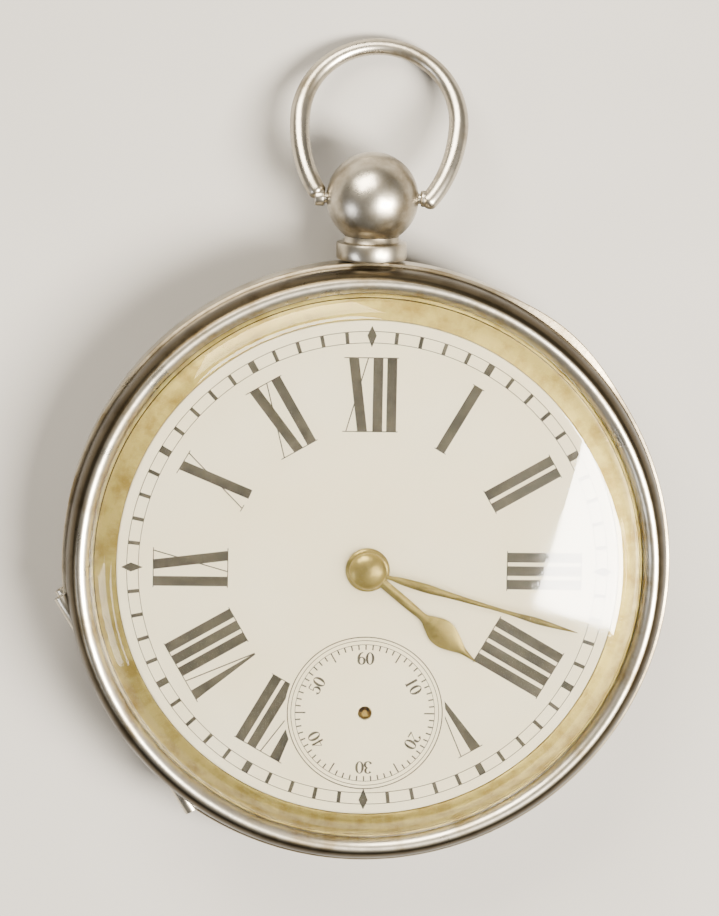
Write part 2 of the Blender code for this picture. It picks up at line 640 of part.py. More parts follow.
def regulator(steel):
    """The index that lengthens or shortens the balance spring."""
    ring = turned("regulator", [(0, 1.6), (1.3, 1.6), (1.3, 1.88), (0, 1.88)], steel, BALANCE, 20)
    arm = [(0, -0.35), (4.4, -0.12), (4.4, 0.12), (0, 0.35)]
    across = Vector((-BALANCE.y, BALANCE.x)).normalized()
    away = BALANCE.normalized()
    outline = [-across * a + away * w for a, w in arm]
    return combine(ring, extruded("index", outline, 1.6, 1.88, None, BALANCE), "UNION")


def winding(steel):
    """Ratchet wheel on the barrel arbor, held by a click and its spring."""
    teeth, tip, root = 20, 2.7, 2.25
    outline = []
    for tooth in range(teeth):
        for radius, share in ((root, 0.05), (tip, 0.95)):
            angle = (tooth + share) * TAU / teeth
            outline.append((radius * math.cos(angle), radius * math.sin(angle)))
    wheel = extruded("ratchet_wheel", outline, 3.1, 3.7, steel, BARREL)
    drill(wheel, BARREL, 0.95, 2, 4.5, 16)
    pivot = BARREL + Vector((4.3, -1.6))
    shape = [(-0.75, -0.6), (0.4, -0.75), (0.85, 0.1), (0.3, 0.8)]
    shape += [(-1.0, 1.75), (-1.5, 1.6), (-0.7, 0.7)]
    claw = extruded("click", shape, 3.2, 3.65, steel, pivot)
    drill(claw, pivot, 0.4, 2, 4.5)
    screw = [(0, 2.75), (0.7, 2.75), (0.7, 3.1), (0.32, 3.1), (0.32, 3.85), (0, 3.85)]
    turned("click_screw", screw, steel, pivot, 12)
    strip = [(1.0, 2.0), (1.25, 2.0), (2.6, -1.6), (2.6, -3.0)]
    strip += [(1.6, -3.0), (1.6, -2.6), (2.2, -2.3), (2.2, -1.6)]
    extruded("click_spring", strip, 3.3, 3.6, steel, pivot)
    return wheel


def motion_work(brass, steel):
    """Under the dial: cannon pinion, minute wheel on its post, and hour wheel, twelve to one."""
    pipe = [(0.62, 9.45), (0.8, 9.45), (0.8, 12.15), (0.62, 12.15)]
    cannon = turned("cannon_pinion", pipe, steel, CENTRE, 16)
    leaves = extruded("cannon_leaves", toothed(CANNON_LEAVES, CANNON_MODULE), 9.45, 9.72, None)
    drill(leaves, CENTRE, 0.7, 9, 10)
    combine(cannon, leaves, "UNION")
    phase = phase_to_mesh(MINUTE_TEETH, MINUTE, CANNON_LEAVES, CENTRE, 0)
    teeth = toothed(MINUTE_TEETH, CANNON_MODULE, phase)
    wheel = extruded("minute_wheel", teeth, 9.45, 9.7, brass, MINUTE)
    pinion = extruded("minute_pinion", toothed(MINUTE_LEAVES, HOUR_MODULE), 9.65, 10.1, None, MINUTE)
    combine(wheel, pinion, "UNION")
    drill(wheel, MINUTE, 0.4, 9, 11)
    arbor("minute_wheel_post", MINUTE, PILLAR_PLATE_Z[1] + 0.02, 10.3, 0.34, steel)
    phase = phase_to_mesh(HOUR_TEETH, CENTRE, MINUTE_LEAVES, MINUTE, 0)
    hour = extruded("hour_wheel", toothed(HOUR_TEETH, HOUR_MODULE, phase), 9.8, 10.05, brass)
    combine(hour, arbor("hour_pipe", CENTRE, 9.8, 11.5, 1.37, None), "UNION")
    return drill(hour, CENTRE, 0.88, 9, 12, 16)


def build():
    clear_scene()
    silver = finish_of("coin_silver", (0.78, 0.74, 0.66), 0.25, 1.0)
    gilt = finish_of("gilt_brass", (0.62, 0.5, 0.26), 0.35, 1.0)
    brass = finish_of("brass", (0.7, 0.56, 0.28), 0.3, 1.0)
    steel = finish_of("steel", (0.45, 0.45, 0.47), 0.25, 1.0)
    enamel = finish_of("enamel", (0.93, 0.89, 0.78), 0.2, 0.0)
    glass = finish_of("glass", (0.95, 0.95, 0.92), 0.03, 0.0, 0.3)
    case_middle(silver)
    bezel(silver)
    crystal(glass)
    back_cover(silver)
    inner_dome(silver)
    hinge_pin("bezel_hinge_pin", BEZEL_JOINT_Z, silver)
    hinge_pin("back_hinge_pin", BACK_JOINT_Z, silver)
    pendant(silver)
    bow(silver)
    dial(enamel, gilt)
    hands(gilt)
    plates(gilt, steel)
    case_screws(steel)
    barrel(brass, steel)
    train(brass, steel)
    pallet_lever(steel)
    balance(gilt, steel)
    regulator(steel)
    winding(steel)
    motion_work(brass, steel)


build()
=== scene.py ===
import math

import bmesh
import bpy
import numpy as np
from mathutils import Matrix, Vector


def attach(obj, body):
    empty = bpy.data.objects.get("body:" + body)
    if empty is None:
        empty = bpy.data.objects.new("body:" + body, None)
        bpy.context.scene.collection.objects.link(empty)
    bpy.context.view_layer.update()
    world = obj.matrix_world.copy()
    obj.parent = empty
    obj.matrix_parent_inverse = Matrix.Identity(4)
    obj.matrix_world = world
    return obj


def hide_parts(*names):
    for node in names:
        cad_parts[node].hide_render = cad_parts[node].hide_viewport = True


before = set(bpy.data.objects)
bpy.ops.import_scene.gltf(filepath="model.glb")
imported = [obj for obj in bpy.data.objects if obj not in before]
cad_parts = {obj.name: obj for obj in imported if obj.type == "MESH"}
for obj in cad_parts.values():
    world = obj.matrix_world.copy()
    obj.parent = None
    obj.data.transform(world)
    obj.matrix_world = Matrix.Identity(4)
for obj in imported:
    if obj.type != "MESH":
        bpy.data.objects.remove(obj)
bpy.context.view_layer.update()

# ---- the table, the lights and the camera ------------------------------------------------------
# The watch lies on its back on a pale matt table. One long window-like softbox stands to the right,
# a broad one hangs overhead and a weak one fills in from the left.

MM = 0.001
TAU = 2 * math.pi


def linear(code):
    """An sRGB hex colour as linear RGBA."""
    values = np.array([int(code[i : i + 2], 16) / 255 for i in (1, 3, 5)])
    line = np.where(values <= 0.04045, values / 12.92, ((values + 0.055) / 1.055) ** 2.4)
    return (*line.tolist(), 1.0)


def node(tree, kind, links=None, **settings):
    """Adds one node: links and 'values' give each socket a source or a number, the rest are attributes."""
    made = tree.nodes.new(kind)
    values = settings.pop("values", {})
    for name, value in settings.items():
        setattr(made, name, value)
    for socket, value in values.items():
        made.inputs[socket].default_value = value
    for socket, source in (links or {}).items():
        tree.links.new(source, made.inputs[socket])
    return made


def new_material(name):
    """A node material, with its tree and its one shader."""
    made = bpy.data.materials.new(name)
    made.use_nodes = True
    tree = made.node_tree
    return made, tree, tree.nodes["Principled BSDF"]


def ramp(tree, source, stops):
    """A colour ramp over a factor: stops are (place, hex colour)."""
    made = node(tree, "ShaderNodeValToRGB", {"Fac": source})
    for index, (place, code) in enumerate(stops):
        element = made.color_ramp.elements[index] if index < 2 else made.color_ramp.elements.new(place)
        element.position, element.color = place, linear(code)
    return made.outputs["Color"]


def noise(tree, place, scale, detail, rough=0.5):
    """A noise factor over the place: 'scale' is its cycles in a metre."""
    values = {"Scale": scale, "Detail": detail, "Roughness": rough}
    return node(tree, "ShaderNodeTexNoise", {"Vector": place}, values=values).outputs["Fac"]


def spread(tree, source, start, end, low, high):
    """The source from start to end taken to low and high."""
    values = {"From Min": start, "From Max": end, "To Min": low, "To Max": high}
    return node(tree, "ShaderNodeMapRange", {"Value": source}, values=values).outputs["Result"]


def bumped(tree, source, strength, distance, under=None):
    """A normal raised by the source, on top of the normal 'under' if there is one."""
    links = {"Height": source} if under is None else {"Height": source, "Normal": under}
    values = {"Strength": strength, "Distance": distance}
    return node(tree, "ShaderNodeBump", links, values=values).outputs["Normal"]


def table_paint():
    """Matt painted board: pale warm grey with a very faint mottle of about 30 mm."""
    made, tree, shader = new_material("matt_board")
    place = node(tree, "ShaderNodeTexCoord").outputs["Object"]
    colour = ramp(tree, noise(tree, place, 33.0, 3.0), [(0.3, "#8D8A85"), (0.7, "#93908B")])
    tree.links.new(colour, shader.inputs["Base Color"])
    shader.inputs["Roughness"].default_value = 0.75
    return made


TABLE_HALF = 2.0
table_mesh = bpy.data.meshes.new("table_top")
corners = [(-1, -1), (1, -1), (1, 1), (-1, 1)]
table_mesh.from_pydata([(x * TABLE_HALF, y * TABLE_HALF, 0) for x, y in corners], [], [(0, 1, 2, 3)])
table_mesh.materials.append(table_paint())
table = bpy.data.objects.new("table_top", table_mesh)
bpy.context.collection.objects.link(table)


def softbox(name, toward, distance, wide, tall, power, colour):
    """An area light in the direction 'toward' from the watch, facing it."""
    data = bpy.data.lights.new(name, "AREA")
    data.shape = "RECTANGLE"
    data.size, data.size_y, data.energy = wide, tall, power
    data.color = linear(colour)[:3]
    lamp = bpy.data.objects.new(name, data)
    bpy.context.collection.objects.link(lamp)
    direction = Vector(toward).normalized()
    lamp.location = direction * distance
    lamp.rotation_euler = direction.to_track_quat("Z", "Y").to_euler()


softbox("window", (0.63, -0.17, 1.0), 0.6, 0.19, 0.32, 25.0, "#FFF8EC")
softbox("ceiling", (-0.35, 0.85, 0.75), 0.8, 0.55, 0.4, 19.0, "#FFF6E6")
softbox("fill", (-0.9, -0.4, 0.55), 0.9, 0.3, 0.3, 2.6, "#F3F6FF")
world = bpy.data.worlds.new("studio")
world.use_nodes = True
world.node_tree.nodes["Background"].inputs["Color"].default_value = linear("#9C9A96")
world.node_tree.nodes["Background"].inputs["Strength"].default_value = 0.55
bpy.context.scene.world = world

VIEW_TILT, VIEW_SIDE, VIEW_ROLL = 10.0, 2.5, -1.1  # degrees: towards twelve, towards nine, clockwise
VIEW_DISTANCE, VIEW_HEIGHT = 0.45, 0.0780
SENSOR = 36
aim = Vector((-0.00073, 0.00905, 0.0080))
away = Vector((-math.sin(math.radians(VIEW_SIDE)), math.sin(math.radians(VIEW_TILT)), 1)).normalized()
eye = bpy.data.objects.new("camera", bpy.data.cameras.new("camera"))
bpy.context.collection.objects.link(eye)
bpy.context.scene.camera = eye
eye.data.sensor_width = SENSOR
eye.data.lens = SENSOR * VIEW_DISTANCE / VIEW_HEIGHT
eye.location = aim + away * VIEW_DISTANCE
right = Vector((0, 1, 0)).cross(away).normalized()
up = away.cross(right)
roll = math.radians(VIEW_ROLL)
right, up = right * math.cos(roll) - up * math.sin(roll), up * math.cos(roll) + right * math.sin(roll)
eye.rotation_euler = Matrix((right, up, away)).transposed().to_euler()
eye.data.clip_start = 0.01

# ---- case band ---------------------------------------------------------------------------------
# The band is a ring of coin silver turned in the lathe. The movement drops into it, and the bezel
# and the back snap over its two lips. The hinge side is filed flat to take the two barrels.

BACK_JOINT = 5.0
BEZEL_JOINT = 8.4
BORE_R, BAND_R = 21.6, 25.95
ROUND_STEPS = 288


def eased(points, reach=0.12, steps=3):
    """A closed outline with its corners rounded: each corner becomes a quadratic curve between the
    points 'reach' before and after it, or a third of the shorter side."""
    points = np.array(points, float)
    before, after = np.roll(points, 1, 0) - points, np.roll(points, -1, 0) - points
    size = np.minimum(np.linalg.norm(before, axis=1), np.linalg.norm(after, axis=1))
    trim = np.minimum(reach, size / 3)[:, None]
    start = points + before / np.linalg.norm(before, axis=1)[:, None] * trim
    end = points + after / np.linalg.norm(after, axis=1)[:, None] * trim
    share = np.linspace(0, 1, steps + 1)[None, :, None]
    curve = start[:, None] * (1 - share) ** 2 + points[:, None] * 2 * share * (1 - share)
    return (curve + end[:, None] * share**2).reshape(-1, 2)


def mesh_object(name, points, faces, finish, smooth_under=40):
    """Points in metres and face lists as a shaded object at the origin."""
    mesh = bpy.data.meshes.new(name)
    mesh.from_pydata(points, [], faces)
    mesh.validate()
    mesh.shade_smooth()
    mesh.set_sharp_from_angle(angle=math.radians(smooth_under))
    mesh.materials.append(finish)
    thing = bpy.data.objects.new(name, mesh)
    bpy.context.collection.objects.link(thing)
    return thing


def grid_faces(rows, columns, close_rows):
    """Quads of a grid whose columns close on themselves, and its rows too if asked."""
    row = np.arange(rows if close_rows else rows - 1)[:, None]
    column = np.arange(columns)[None, :]
    here, beside = row * columns + column, row * columns + (column + 1) % columns
    above = (row + 1) % rows * columns
    quads = np.stack([here, beside, above + (column + 1) % columns, above + column], -1)
    return quads.reshape(-1, 4)


def outward(thing):
    """Merges the doubles of a closed mesh and points its normals outwards."""
    bm = bmesh.new()
    bm.from_mesh(thing.data)
    bmesh.ops.remove_doubles(bm, verts=bm.verts, dist=1e-8)
    bmesh.ops.recalc_face_normals(bm, faces=bm.faces)
    bm.to_mesh(thing.data)
    bm.free()
    return thing


def turned(name, outline, finish, at=(0, 0), steps=ROUND_STEPS, shape=None):
    """A turned ring: the closed (radius, height) outline in mm carried round the axis at 'at'.
    shape(points, clock) may move the points, given with their clock angles in degrees."""
    outline = np.array(outline, float)
    clock = np.arange(steps) / steps * TAU
    radius, height = outline[:, 0][:, None], outline[:, 1][:, None]
    grid = np.stack([radius * np.sin(clock), radius * np.cos(clock), height + 0 * clock], -1)
    if shape:
        grid = shape(grid, np.degrees(clock)[None, :] + 0 * radius)
    points = grid.reshape(-1, 3) * MM + np.array([at[0], at[1], 0]) * MM
    on_axis = outline[0, 0] == 0 and outline[-1, 0] == 0
    faces = grid_faces(len(outline), steps, not on_axis)
    return outward(mesh_object(name, points, faces.tolist(), finish))


def coin_silver(name, clean="#B8B1A2", dull="#8C816B", wear=0.5, painted_reflection_radii=None):
    """Coin silver, hand polished and worn: bright with a warm tarnish in patches of 3 to 6 mm, and
    fine rubbing marks 0.3 mm apart that spread the highlights. If two radii are given, in metres
    from the watch's axis, a painted dark reflection darkens the colour in a band between them."""
    made, tree, shader = new_material(name)
    place = node(tree, "ShaderNodeTexCoord").outputs["Object"]
    patches = noise(tree, place, 230.0, 5.0, 0.6)
    colour = ramp(tree, patches, [(0.36, dull), (0.36 + 0.3 * wear, clean)])
    # Painted dark reflection: between the two radii the colour is multiplied by a ramp that is white at
    # the inner radius, dark across the band and pale again at the outer one.
    if painted_reflection_radii:
        flat = node(tree, "ShaderNodeMapping", {"Vector": place}, values={"Scale": (1.0, 1.0, 0.0)})
        out = node(tree, "ShaderNodeVectorMath", {0: flat.outputs["Vector"]}, operation="LENGTH")
        share = spread(tree, out.outputs["Value"], *painted_reflection_radii, 0.0, 1.0)
        stops = [(0.0, "#FFFFFF"), (0.2, "#6C6558"), (0.78, "#5F584C"), (0.97, "#DDD6C8")]
        shade = ramp(tree, share, stops)
        mixed = node(tree, "ShaderNodeMix", {6: colour, 7: shade}, data_type="RGBA", blend_type="MULTIPLY")
        mixed.inputs[0].default_value = 1.0
        colour = mixed.outputs[2]
    tree.links.new(colour, shader.inputs["Base Color"])
    tree.links.new(spread(tree, patches, 0.3, 0.75, 0.36, 0.24), shader.inputs["Roughness"])
    shader.inputs["Metallic"].default_value = 1.0
    marks = bumped(tree, noise(tree, place, 3300.0, 6.0), 0.1, 0.06 * MM)
    dents = bumped(tree, noise(tree, place, 420.0, 2.0), 0.16, 0.2 * MM, marks)
    tree.links.new(dents, shader.inputs["Normal"])
    return made


silver = coin_silver("coin_silver")

HINGE_TURN = math.radians(238.5)
HINGE_OUT = 23.8
HINGE_HALF = 11.0
hinge_away = np.array([math.sin(HINGE_TURN), math.cos(HINGE_TURN)])
hinge_along = np.array([-hinge_away[1], hinge_away[0]])


def hinge_points(out, along, height):
    """Points in the hinge's frame, in mm: out from the barrel's axis, along it, and up."""
    out, along, height = [np.asarray(part)[..., None] for part in (out, along, height)]
    return np.concatenate([hinge_away * (HINGE_OUT + out) + hinge_along * along, height], -1)


def block(name, out, along, height):
    """A block between (low, high) pairs in the hinge's frame, for cutting or for a soldered foot."""
    low_high = np.array([[i >> 2 & 1, i >> 1 & 1, i & 1] for i in range(8)])
    pick = [np.array(pair)[low_high[:, i]] for i, pair in enumerate((out, along, height))]
    points = hinge_points(*pick) * MM
    faces = [(0, 1, 3, 2), (4, 6, 7, 5), (0, 4, 5, 1), (2, 3, 7, 6), (0, 2, 6, 4), (1, 5, 7, 3)]
    return outward(mesh_object(name, points, faces, silver))


def cut(piece, cutters):
    """Takes the cutters' shapes out of the piece for good."""
    for cutter in cutters:
        change = piece.modifiers.new("cut", "BOOLEAN")
        change.operation, change.object, change.solver = "DIFFERENCE", cutter, "EXACT"
        bpy.context.view_layer.objects.active = piece
        bpy.ops.object.modifier_apply(modifier=change.name)
        bpy.data.objects.remove(cutter)
    piece.data.shade_smooth()
    piece.data.set_sharp_from_angle(angle=math.radians(32))


band_outline = [
    (BORE_R, BACK_JOINT),
    (22.4, BACK_JOINT),
    (22.4, BACK_JOINT - 0.6),
    (23.3, BACK_JOINT - 0.6),
    (23.3, BACK_JOINT),
    (25.6, BACK_JOINT),
    (25.88, BACK_JOINT + 0.7),
    (BAND_R, 6.7),
    (25.92, BEZEL_JOINT - 0.8),
    (25.8, BEZEL_JOINT),
    (23.15, BEZEL_JOINT),
    (23.15, BEZEL_JOINT + 0.8),
    (22.3, BEZEL_JOINT + 0.8),
    (22.3, BEZEL_JOINT),
    (BORE_R, BEZEL_JOINT),
]
band = turned("case_band", eased(band_outline), silver)
HALF = HINGE_HALF + 0.05
POCKET, POCKET_OUT = 0.75, (-0.75, 3.5)
pocket_along, flat_along, lip_along = (-HALF, HALF), (0.02 - HALF, HALF - 0.02), (-HALF - 0.1, HALF + 0.1)
cut(
    band,
    [
        block("upper_pocket", POCKET_OUT, pocket_along, (BEZEL_JOINT - POCKET, BEZEL_JOINT + 1)),
        block("lower_pocket", POCKET_OUT, pocket_along, (BACK_JOINT - 1, BACK_JOINT + POCKET)),
        block("hinge_flat", (0.3, 3.4), flat_along, (BACK_JOINT - 0.4, BEZEL_JOINT + 0.4)),
        block("upper_lip", (-1.5, 3.6), lip_along, (BEZEL_JOINT - 0.02, BEZEL_JOINT + 1.1)),
        block("lower_lip", (-1.5, 3.6), lip_along, (BACK_JOINT - 1.1, BACK_JOINT + 0.02)),
    ],
)
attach(band, "case")
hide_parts("case_middle")

# ---- hinges ------------------------------------------------------------------------------------
# Each hinge is five short silver tubes soldered by turns to the band and to its lid, with a wire
# pushed through them. The band has the first, third and last tube of both hinges.

KNUCKLE = 4.4
KNUCKLE_R, KNUCKLE_HOLE, KNUCKLE_GAP = 0.65, 0.33, 0.05
WIRE_HALF, WIRE_R, WIRE_CHAMFER = 10.8, 0.27, 0.05


def joined(name, things):
    """Several meshes made into one object, in their order."""
    bpy.ops.object.select_all(action="DESELECT")
    for thing in things:
        thing.select_set(True)
    bpy.context.view_layer.objects.active = things[0]
    bpy.ops.object.join()
    whole = bpy.context.object
    whole.name = whole.data.name = name
    bpy.ops.object.select_all(action="DESELECT")
    return whole


def tube_on_hinge(name, outline, height, steps=40):
    """A ring about the hinge's axis: the closed (along, radius) outline goes round it, so a point is
    out = r cos a, up = height + r sin a."""
    outline = np.array(outline, float)
    a = np.arange(steps) / steps * TAU
    along, radius = outline[:, 0][:, None], outline[:, 1][:, None]
    points = hinge_points(radius * np.cos(a), along + 0 * a, height + radius * np.sin(a))
    faces = grid_faces(len(outline), steps, outline[0, 1] > 0)
    return outward(mesh_object(name, points.reshape(-1, 3) * MM, faces.tolist(), silver))


def knuckles(name, height, places, side):
    """The tubes at these places, each with the foot it is soldered by, above or below the axis."""
    made = []
    for place in places:
        low = -HINGE_HALF + KNUCKLE * place + KNUCKLE_GAP
        high = low + KNUCKLE - 2 * KNUCKLE_GAP
        ends = [(low, KNUCKLE_HOLE), (high, KNUCKLE_HOLE), (high, KNUCKLE_R), (low, KNUCKLE_R)]
        made.append(tube_on_hinge(f"{name}_tube_{place}", eased(ends, 0.06, 2), height))
        rise = sorted((height + side * 0.12, height + side * 0.5))
        made.append(block(f"{name}_foot_{place}", (-1.3, -0.45), (low + 0.1, high - 0.1), rise))
    return joined(name, made)


def hinge_wire(name, height):
    """A round wire on the hinge's axis with its ends chamfered."""
    half, r, bevel = WIRE_HALF, WIRE_R, WIRE_CHAMFER
    end = np.array([(half - bevel, r), (half, r - bevel), (half, 0)])
    return tube_on_hinge(name, np.concatenate([end[::-1] * (-1, 1), end]), height, 24)


for lid, height, side in (("bezel", BEZEL_JOINT, -1), ("back", BACK_JOINT, 1)):
    tubes = knuckles(f"{lid}_hinge_band_tubes", height, (0, 2, 4), side)
    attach(tubes, "case")
    wire = hinge_wire(f"{lid}_hinge_wire", height)
    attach(wire, "case")
    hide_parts(f"{lid}_hinge_pin")
    tubes = knuckles(f"{lid}_hinge_lid_tubes", height, (1, 3), -side)
    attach(tubes, lid)

# ---- bezel -------------------------------------------------------------------------------------
# A turned silver ring with a high rounded bead that holds the glass. It snaps over the band's upper
# lip, swings on the upper hinge and has a small lip at two o'clock for the thumbnail.

BEAD_AT, BEAD_WIDE, BEAD_TALL = (24.45, 9.2), 1.15, 1.95
LIP_CLOCK, LIP_HALF, LIP_OUT, RIM_FROM = 40, 19, 0.4, 25.86

bead = np.radians(np.linspace(0, 130, 27))
bezel_outline = np.concatenate(
    [
        [(23.6, 10.5), (23.6, 10.1), (23.25, 10.1), (23.25, 8.5), (23.3, 8.45), (25.88, 8.45)],
        [(BAND_R, 8.52), (BAND_R, 8.7), (25.88, 8.8), (25.68, 8.87)],
        np.stack([BEAD_AT[0] + BEAD_WIDE * np.cos(bead), BEAD_AT[1] + BEAD_TALL * np.sin(bead)], 1),
    ]
)


def thumb_lip(grid, clock):
    """Points on the rim outside the bead move out by LIP_OUT cos^2 towards the middle of the lip."""
    share = np.clip(np.abs((clock - LIP_CLOCK + 180) % 360 - 180) / LIP_HALF, 0, 1)
    push = 1 + LIP_OUT / BAND_R * np.cos(share * math.pi / 2) ** 2
    rim = np.hypot(grid[..., 0], grid[..., 1]) > RIM_FROM
    scale = np.where(rim, push, 1.0)[..., None]
    return np.concatenate([grid[..., :2] * scale, grid[..., 2:]], -1)


# The bezel's outer flank, 24.55 to 25.85 mm from the axis, gets a painted dark reflection in its colour.
bezel_silver_painted_reflection = coin_silver("bezel_silver_painted_reflection", painted_reflection_radii=(24.55 * MM, 25.85 * MM))
bezel = turned("bezel_ring", bezel_outline, bezel_silver_painted_reflection, shape=thumb_lip, steps=360)
cut(bezel, [block("bezel_pocket", POCKET_OUT, pocket_along, (BEZEL_JOINT - 1, BEZEL_JOINT + POCKET))])
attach(bezel, "bezel")
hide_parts("bezel")

# ---- watch glass -------------------------------------------------------------------------------
# A low dome of soda-lime glass, about half a millimetre thick, ground to a shoulder that springs
# into the bezel's groove. Years of wear have left it slightly hazy.


def watch_glass():
    """Soda-lime glass, blown and ground, IOR 1.52, with faint scratches in its polish."""
    made, tree, shader = new_material("watch_glass")
    place = node(tree, "ShaderNodeTexCoord").outputs["Object"]
    wear = noise(tree, place, 260.0, 6.0)
    tree.links.new(spread(tree, wear, 0.35, 0.7, 0.015, 0.06), shader.inputs["Roughness"])
    tint = ramp(tree, wear, [(0.3, "#FFFDF6"), (0.7, "#FDFBF2")])
    tree.links.new(tint, shader.inputs["Base Color"])
    shader.inputs["Transmission Weight"].default_value = 1.0
    shader.inputs["IOR"].default_value = 1.52
    return made


GLASS_R, GLASS_EDGE, GLASS_RISE = 21.7, 12.3, 1.45
INNER_R, INNER_EDGE, INNER_RISE = 21.65, 11.72, 1.38
share = np.linspace(0, 1, 49)
dome_out = np.stack([GLASS_R * share, GLASS_EDGE + GLASS_RISE * (1 - share**2)], 1)
dome_in = np.stack([INNER_R * share, INNER_EDGE + INNER_RISE * (1 - share**2)], 1)[::-1]
shoulder = [(21.95, 12.1), (23.5, 10.72), (23.55, 10.64), (23.55, 10.15), (22.98, 10.15)]
shoulder += [(22.98, 10.42)]
glass = turned("watch_glass", np.concatenate([dome_out, shoulder, dome_in]), watch_glass(), steps=240)
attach(glass, "bezel")
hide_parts("crystal")

# ---- back and dust dome ------------------------------------------------------------------------
# The back is a shallow turned silver dish on the lower hinge. Under it a fixed dust dome, pierced
# for the winding key, covers the movement.

BARREL_AT = (-3.591, 9.867)
KEY_HOLE_R = 1.5

worn_back = coin_silver("worn_back_silver", wear=0.8)


def spline(points, steps=10):
    """A smooth open curve through the points (Catmull-Rom, ends doubled)."""
    p = np.array(points, float)
    p = np.concatenate([2 * p[:1] - p[1:2], p, 2 * p[-1:] - p[-2:-1]])
    t = np.linspace(0, 1, steps, endpoint=False)[:, None]
    rows = [
        0.5 * (2 * b + (c - a) * t + (2 * a - 5 * b + 4 * c - d) * t**2 + (3 * b - a - 3 * c + d) * t**3)
        for a, b, c, d in zip(p, p[1:], p[2:], p[3:])
    ]
    return np.concatenate(rows + [p[-2:-1]])


back_out = spline([(12, 0), (18, 0.35), (21.5, 1.2), (24, 2.6), (25.3, 4.1), (25.58, 4.93)], 6)
back_in = spline([(23.4, 4.0), (21, 1.75), (17.8, 0.85), (12, 0.5)], 6)
back_outline = np.concatenate([[(0, 0)], back_out, [(25.5, 4.95), (23.4, 4.95)], back_in, [(0, 0.5)]])
back = turned("back_cover_dish", back_outline, worn_back, steps=240)
cut(back, [block("back_pocket", POCKET_OUT, pocket_along, (BACK_JOINT - POCKET, BACK_JOINT + 1))])
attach(back, "back")
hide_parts("back_cover")


def gilt_brass(name, bright, dark, rough):
    """Brass plate, fire gilt, dulled: a soft yellow with brown spotting of about 1 to 2 mm."""
    made, tree, shader = new_material(name)
    place = node(tree, "ShaderNodeTexCoord").outputs["Object"]
    colour = ramp(tree, noise(tree, place, 480.0, 6.0, 0.65), [(0.34, dark), (0.58, bright)])
    tree.links.new(colour, shader.inputs["Base Color"])
    shader.inputs["Metallic"].default_value = 1.0
    shader.inputs["Roughness"].default_value = rough
    grain = bumped(tree, noise(tree, place, 5200.0, 3.0), 0.15, 0.05 * MM)
    tree.links.new(grain, shader.inputs["Normal"])
    return made


dome_outline = [(0, 1), (17.8, 1), (19.5, 1.55), (20.9, 2.6), (21.5, 3.9), (21.5, 5.4)]
dome_outline += [(21.1, 5.4), (21.1, 3.95), (20.5, 2.85), (19.2, 1.95), (17.6, 1.4), (0, 1.4)]
dome = turned("dust_dome", dome_outline, silver, steps=240)
cutter = [(0, 0.5), (KEY_HOLE_R, 0.5), (KEY_HOLE_R, 2), (0, 2)]
cut(dome, [turned("key_hole", cutter, silver, BARREL_AT, 48)])
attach(dome, "case")
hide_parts("inner_dome")

# ---- pendant -----------------------------------------------------------------------------------
# A turned silver neck with a flat collar is soldered into the band. A turned silver ball sits on it,
# drilled across for the ends of the bow.

PENDANT_Z = 6.9
BALL_Y, BALL_R, BALL_FOOT = 31.2, 3.92, 28.05
BALL_HOLE_R = 0.55

worn_silver = coin_silver("worn_pendant_silver", clean="#B3AC9E", dull="#7B715E", wear=0.7)


def turned_upright(name, outline, finish, steps=120):
    """A turned piece whose axis runs along Y through the pendant: outline is (radius, y) from pole to
    pole, so a point is x = r cos a, z = PENDANT_Z + r sin a."""
    outline = np.array(outline, float)
    a = np.arange(steps) / steps * TAU
    radius, y = outline[:, 0][:, None], outline[:, 1][:, None]
    points = np.stack([radius * np.cos(a), y + 0 * a, PENDANT_Z + radius * np.sin(a)], -1)
    faces = grid_faces(len(outline), steps, False).tolist()
    return outward(mesh_object(name, points.reshape(-1, 3) * MM, faces, finish))


neck_outline = [(0, 23), (1.1, 23), (1.1, 25.95), (1.2, 26), (2.75, 26), (2.92, 26.06), (3, 26.22)]
neck_outline += [(3, 27.28), (2.94, 27.44), (2.8, 27.5), (2.4, 27.55), (2.33, 27.75), (2.3, 28), (0, 28)]
neck = turned_upright("pendant_neck_and_collar", neck_outline, worn_silver)
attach(neck, "case")
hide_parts("pendant_neck")

foot = math.asin((BALL_FOOT - BALL_Y) / BALL_R)
lean = np.linspace(foot, math.pi / 2, 60)
ball_outline = np.stack([BALL_R * np.cos(lean), BALL_Y + BALL_R * np.sin(lean)], 1)
ball_outline[-1, 0] = 0
ball_outline = np.concatenate([[(0, BALL_FOOT)], ball_outline])
ball = turned_upright("pendant_ball_drilled", ball_outline, worn_silver)


def cross_drill(name, radius, low, high, steps=40):
    """A rod along X through the ball's middle: y = BALL_Y + r cos a, z = PENDANT_Z + r sin a."""
    a = np.arange(steps) / steps * TAU
    ends = np.array([(low, 0), (low, radius), (high, radius), (high, 0)], float)
    x, r = ends[:, 0][:, None], ends[:, 1][:, None]
    points = np.stack([x + 0 * a, BALL_Y + r * np.cos(a), PENDANT_Z + r * np.sin(a)], -1)
    faces = grid_faces(len(ends), steps, False).tolist()
    return outward(mesh_object(name, points.reshape(-1, 3) * MM, faces, silver))


cut(ball, [cross_drill("ball_hole", BALL_HOLE_R, -5, 5)])
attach(ball, "case")
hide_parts("pendant_ball")

# ---- bow ---------------------------------------------------------------------------------------
# One silver wire bent round into a ring, thicker at the shoulders than at the top, its ends filed
# down to pins that turn in the ball. It has been pulled a few degrees out of true.

BOW_R, BOW_HEART, BOW_WIRE = 6.75, 6.9, 0.85
BOW_LEAN, BOW_REST = math.radians(5), math.radians(-25.5)
BOW_END = math.radians(-45)
BOW_CAP, BOW_DRAWN = 0.62, 1.4


